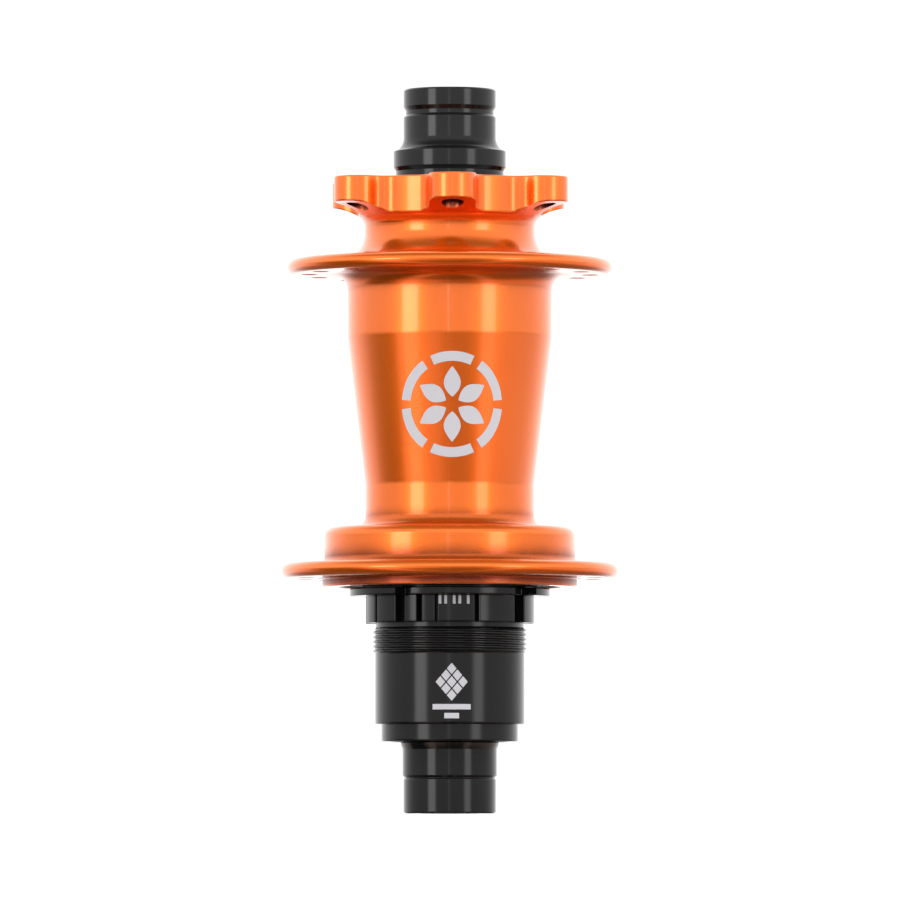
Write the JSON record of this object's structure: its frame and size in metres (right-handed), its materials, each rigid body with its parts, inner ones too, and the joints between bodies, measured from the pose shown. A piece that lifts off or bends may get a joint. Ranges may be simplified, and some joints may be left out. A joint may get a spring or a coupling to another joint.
{
  "type": "bicycle rear hub",
  "caption": "Rear disc-brake bicycle hub: flanged orange shell, black end caps and a splined, threaded driver body with an internal pawl ratchet.",
  "frame": {"origin": "on the axle's axis, midway between the two end faces", "axes": "+Z along the axle towards the disc side, -Y towards the front of the reference view"},
  "size_m": [0.0688, 0.0688, 0.148],
  "materials": {
    "anodised_orange": "gloss anodised, fine turning lines",
    "anodised_black": "satin anodised, fine turning lines",
    "driver_black": "satin hard-anodised",
    "axle_metal": "bare turned",
    "bearing_steel": "ground and polished",
    "tool_steel": "machined",
    "rubber": "matt",
    "nylon": "moulded"
  },
  "bodies": {
    "axle": {"axle": "axle_metal", "nds_end_cap": "anodised_black", "ds_end_cap": "anodised_black", "nds_cap_o_ring": "rubber", "ds_cap_o_ring": "rubber", "ratchet_spacer": "axle_metal", "driver_spacer": "axle_metal", "nds_inner_race": "bearing_steel", "ds_inner_race": "bearing_steel", "inboard_inner_race": "bearing_steel", "outboard_inner_race": "bearing_steel"},
    "shell": {"hub_shell": "anodised_orange", "drive_ring": "tool_steel", "driver_seal": "rubber", "nds_outer_race": "bearing_steel", "nds_bearing_shields": "rubber", "ds_outer_race": "bearing_steel", "ds_bearing_shields": "rubber"},
    "driver": {"driver_body": "driver_black", "driver_circlip": "tool_steel", "pawl_springs": "bearing_steel", "inboard_outer_race": "bearing_steel", "inboard_bearing_shields": "rubber", "outboard_outer_race": "bearing_steel", "outboard_bearing_shields": "rubber"},
    "nds_ball_set": {"nds_balls": "bearing_steel", "nds_cage": "nylon"},
    "ds_ball_set": {"ds_balls": "bearing_steel", "ds_cage": "nylon"},
    "inboard_ball_set": {"inboard_balls": "bearing_steel", "inboard_cage": "nylon"},
    "outboard_ball_set": {"outboard_balls": "bearing_steel", "outboard_cage": "nylon"},
    "pawl_1": {"pawl_1": "tool_steel"},
    "pawl_2": {"pawl_2": "tool_steel"},
    "pawl_3": {"pawl_3": "tool_steel"},
    "pawl_4": {"pawl_4": "tool_steel"},
    "pawl_5": {"pawl_5": "tool_steel"},
    "pawl_6": {"pawl_6": "tool_steel"}
  },
  "joints": [
    {"name": "shell_spin", "type": "hinge", "parent": "axle", "child": "shell", "pos_m": [0, 0, 0], "axis": [0, 0, 1], "continuous": true},
    {"name": "freewheel", "type": "hinge", "parent": "shell", "child": "driver", "pos_m": [0, 0, 0], "axis": [0, 0, 1], "continuous": true},
    {"name": "nds_balls_roll", "type": "hinge", "parent": "axle", "child": "nds_ball_set", "pos_m": [0, 0, 0.0508], "axis": [0, 0, 1], "continuous": true},
    {"name": "ds_balls_roll", "type": "hinge", "parent": "axle", "child": "ds_ball_set", "pos_m": [0, 0, -0.0095], "axis": [0, 0, 1], "continuous": true},
    {"name": "inboard_balls_roll", "type": "hinge", "parent": "axle", "child": "inboard_ball_set", "pos_m": [0, 0, -0.0315], "axis": [0, 0, 1], "continuous": true},
    {"name": "outboard_balls_roll", "type": "hinge", "parent": "axle", "child": "outboard_ball_set", "pos_m": [0, 0, -0.0555], "axis": [0, 0, 1], "continuous": true},
    {"name": "pawl_1_lift", "type": "hinge", "parent": "driver", "child": "pawl_1", "pos_m": [0.0162, 0, -0.0216], "axis": [0, 0, 1], "range_deg": [0, 9], "stiffness_Nm_per_rad": 0.005, "springref_deg": -11.46},
    {"name": "pawl_2_lift", "type": "hinge", "parent": "driver", "child": "pawl_2", "pos_m": [0.0081, 0.01403, -0.0216], "axis": [0, 0, 1], "range_deg": [0, 9], "stiffness_Nm_per_rad": 0.005, "springref_deg": -11.46},
    {"name": "pawl_3_lift", "type": "hinge", "parent": "driver", "child": "pawl_3", "pos_m": [-0.0081, 0.01403, -0.0216], "axis": [0, 0, 1], "range_deg": [0, 9], "stiffness_Nm_per_rad": 0.005, "springref_deg": -11.46},
    {"name": "pawl_4_lift", "type": "hinge", "parent": "driver", "child": "pawl_4", "pos_m": [-0.0162, 0, -0.0216], "axis": [0, 0, 1], "range_deg": [0, 9], "stiffness_Nm_per_rad": 0.005, "springref_deg": -11.46},
    {"name": "pawl_5_lift", "type": "hinge", "parent": "driver", "child": "pawl_5", "pos_m": [-0.0081, -0.01403, -0.0216], "axis": [0, 0, 1], "range_deg": [0, 9], "stiffness_Nm_per_rad": 0.005, "springref_deg": -11.46},
    {"name": "pawl_6_lift", "type": "hinge", "parent": "driver", "child": "pawl_6", "pos_m": [0.0081, -0.01403, -0.0216], "axis": [0, 0, 1], "range_deg": [0, 9], "stiffness_Nm_per_rad": 0.005, "springref_deg": -11.46}
  ],
  "couplings": [
    {"joint": "nds_balls_roll", "follows": "shell_spin", "ratio": 0.5744},
    {"joint": "ds_balls_roll", "follows": "shell_spin", "ratio": 0.5744},
    {"joint": "inboard_balls_roll", "follows": "shell_spin", "ratio": 0.5563},
    {"joint": "outboard_balls_roll", "follows": "shell_spin", "ratio": 0.5621}
  ]
}
